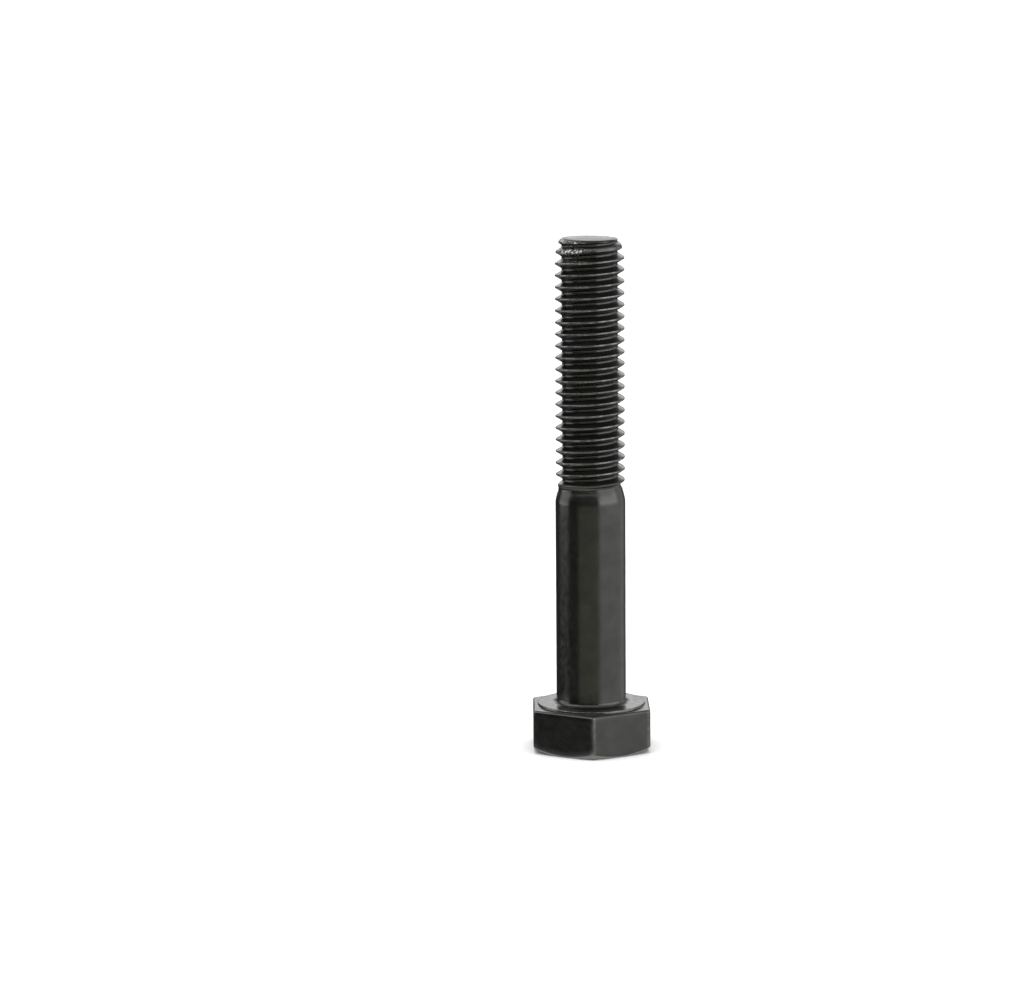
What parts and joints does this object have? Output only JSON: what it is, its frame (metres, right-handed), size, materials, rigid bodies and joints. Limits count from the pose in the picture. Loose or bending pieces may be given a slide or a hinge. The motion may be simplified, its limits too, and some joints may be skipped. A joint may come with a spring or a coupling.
{
  "type": "hex bolt",
  "caption": "Partly threaded hex head bolt in black oxide steel, with washer face, filleted plain shank, neck shoulder and rolled right-hand thread.",
  "frame": {"origin": "centre of the bearing face, where the bolt's axis crosses the plane of the washer face under the head", "axes": "+Z along the shank from the head to the threaded end; two of the head's flats face +X and -X, and two of its corners point along +Y and -Y"},
  "size_m": [0.01, 0.0116, 0.044],
  "materials": {
    "black_oxide_steel": "black oxide on steel, lightly oiled, satin to semi-gloss"
  },
  "bodies": {
    "root": {"hex_bolt": "black_oxide_steel"}
  },
  "joints": []
}
